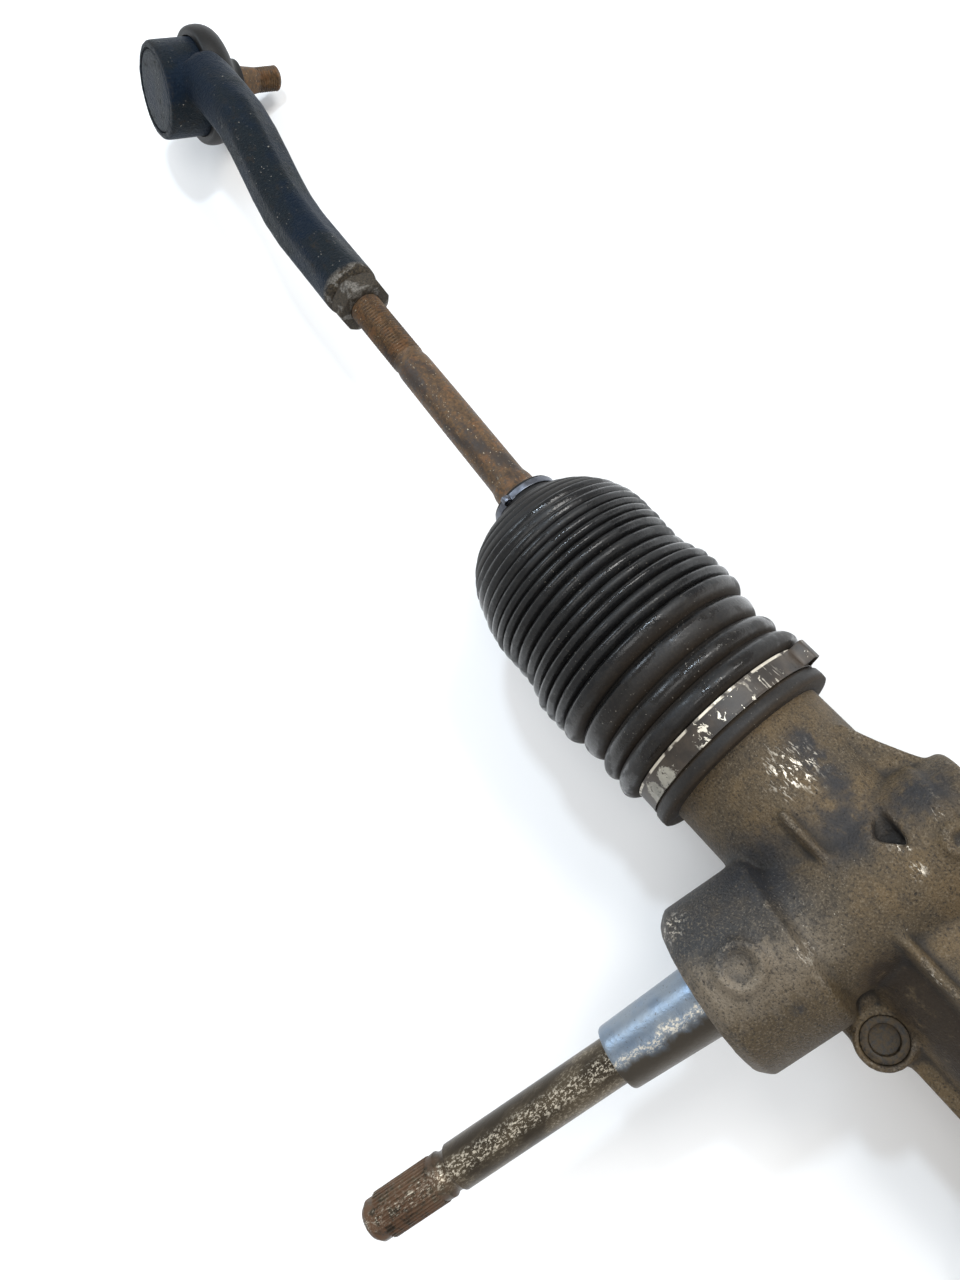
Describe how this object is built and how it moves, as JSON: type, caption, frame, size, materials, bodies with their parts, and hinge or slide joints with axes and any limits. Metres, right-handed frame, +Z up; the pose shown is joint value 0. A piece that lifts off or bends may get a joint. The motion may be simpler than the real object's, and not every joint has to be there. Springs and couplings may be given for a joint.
{
  "type": "rack and pinion steering gear",
  "caption": "Manual rack and pinion steering gear: cast housing, tilted splined input shaft, bellows, and ball-jointed tie rods.",
  "frame": {"origin": "centre of the four mounting bolts, on the mounting face that the part stands on", "axes": "+X along the rack from the pinion end to the far end, the input shaft points to -Y, +Z up from the mounting face"},
  "size_m": [1.4312, 0.2724, 0.0975],
  "materials": {
    "cast_aluminium": "sand-cast aluminium, dirty and scratched",
    "clean_aluminium": "satin machined aluminium",
    "dark_steel": "plain steel, stained and lightly rusted",
    "ground_steel": "ground and greased",
    "bearing_steel": "polished",
    "black_rubber": "matte with oily highlights",
    "black_paint": "worn black paint over forged steel",
    "rusty_steel": "rusted threaded steel",
    "worn_nut": "dark finish with worn grey patches",
    "strap_metal": "painted strip with bright chips",
    "nylon": "natural nylon",
    "spring_steel": "blued spring steel",
    "zinc_steel": "zinc plated",
    "brown_plug": "dirty steel plug"
  },
  "bodies": {
    "housing": {"rack_housing": "cast_aluminium", "pinion_cover": "clean_aluminium", "dust_seal": "black_rubber", "oil_seal": "black_rubber", "bearing_nut": "dark_steel", "bearing_outer_race": "bearing_steel", "bearing_balls": "bearing_steel", "needle_shell": "bearing_steel", "needle_rollers": "bearing_steel", "lower_plug": "dark_steel", "blanking_plug": "brown_plug", "yoke": "clean_aluminium", "yoke_liner": "nylon", "yoke_o_ring": "black_rubber", "yoke_spring": "spring_steel", "yoke_adjuster": "dark_steel", "yoke_lock_nut": "zinc_steel", "rack_bush": "nylon", "bush_snap_ring": "spring_steel", "stop_washer_left": "dark_steel", "stop_washer_right": "dark_steel", "mount_rubbers": "black_rubber", "mount_sleeves": "zinc_steel", "bellows_left": "black_rubber", "bellows_right": "black_rubber", "bellows_strap_left": "strap_metal", "bellows_strap_right": "strap_metal"},
    "rack": {"rack_bar": "ground_steel", "lock_washer_left": "zinc_steel", "lock_washer_right": "zinc_steel", "inner_socket_left": "dark_steel", "inner_socket_right": "dark_steel"},
    "pinion": {"pinion_shaft": "dark_steel", "bearing_inner_race": "bearing_steel", "shaft_circlip": "spring_steel"},
    "inner_joint_left": {"inner_seat_left": "nylon"},
    "tie_rod_left": {"inner_tie_rod_left": "rusty_steel", "jam_nut_left": "worn_nut", "outer_end_left": "black_paint", "outer_cap_left": "black_paint", "boot_ring_left": "spring_steel", "bellows_clip_left": "spring_steel"},
    "outer_joint_left": {"outer_seat_left": "nylon", "dust_boot_left": "black_rubber"},
    "stud_left": {"ball_stud_left": "rusty_steel"},
    "inner_joint_right": {"inner_seat_right": "nylon"},
    "tie_rod_right": {"inner_tie_rod_right": "rusty_steel", "jam_nut_right": "worn_nut", "outer_end_right": "black_paint", "outer_cap_right": "black_paint", "boot_ring_right": "spring_steel", "bellows_clip_right": "spring_steel"},
    "outer_joint_right": {"outer_seat_right": "nylon", "dust_boot_right": "black_rubber"},
    "stud_right": {"ball_stud_right": "rusty_steel"}
  },
  "joints": [
    {"name": "rack_slide", "type": "slide", "parent": "housing", "child": "rack", "axis": [1, 0, 0], "range_m": [-0.09, 0.034], "deforming": ["bellows_left", "bellows_right"]},
    {"name": "pinion_spin", "type": "hinge", "parent": "housing", "child": "pinion", "pos_m": [-0.215, 0, 0.068], "axis": [-0.1305, -0.9914, 0], "range_deg": [-640, 242]},
    {"name": "inner_sway_left", "type": "hinge", "parent": "rack", "child": "inner_joint_left", "pos_m": [-0.32, 0, 0.055], "axis": [0, 0, 1], "range_deg": [-9, 18]},
    {"name": "inner_lift_left", "type": "hinge", "parent": "inner_joint_left", "child": "tie_rod_left", "pos_m": [-0.32, 0, 0.055], "axis": [0, 1, 0], "range_deg": [-11, 16]},
    {"name": "stud_spin_left", "type": "hinge", "parent": "tie_rod_left", "child": "outer_joint_left", "pos_m": [-0.69084, 0.03114, 0.03875], "axis": [0.1492, 0.7857, -0.6004], "continuous": true},
    {"name": "stud_tilt_left", "type": "hinge", "parent": "outer_joint_left", "child": "stud_left", "pos_m": [-0.69084, 0.03114, 0.03875], "axis": [-0.9825, 0.1865, 0], "range_deg": [-20, 20], "deforming": ["dust_boot_left"]},
    {"name": "inner_sway_right", "type": "hinge", "parent": "rack", "child": "inner_joint_right", "pos_m": [0.32, 0, 0.055], "axis": [0, 0, 1], "range_deg": [-18, 9]},
    {"name": "inner_lift_right", "type": "hinge", "parent": "inner_joint_right", "child": "tie_rod_right", "pos_m": [0.32, 0, 0.055], "axis": [0, 1, 0], "range_deg": [-16, 11]},
    {"name": "stud_spin_right", "type": "hinge", "parent": "tie_rod_right", "child": "outer_joint_right", "pos_m": [0.69084, 0.03114, 0.03875], "axis": [-0.1492, 0.7857, -0.6004], "continuous": true},
    {"name": "stud_tilt_right", "type": "hinge", "parent": "outer_joint_right", "child": "stud_right", "pos_m": [0.69084, 0.03114, 0.03875], "axis": [-0.9825, -0.1865, 0], "range_deg": [-20, 20], "deforming": ["dust_boot_right"]}
  ],
  "couplings": [
    {"joint": "pinion_spin", "follows": "rack_slide", "rad_per_m": 123.93}
  ]
}
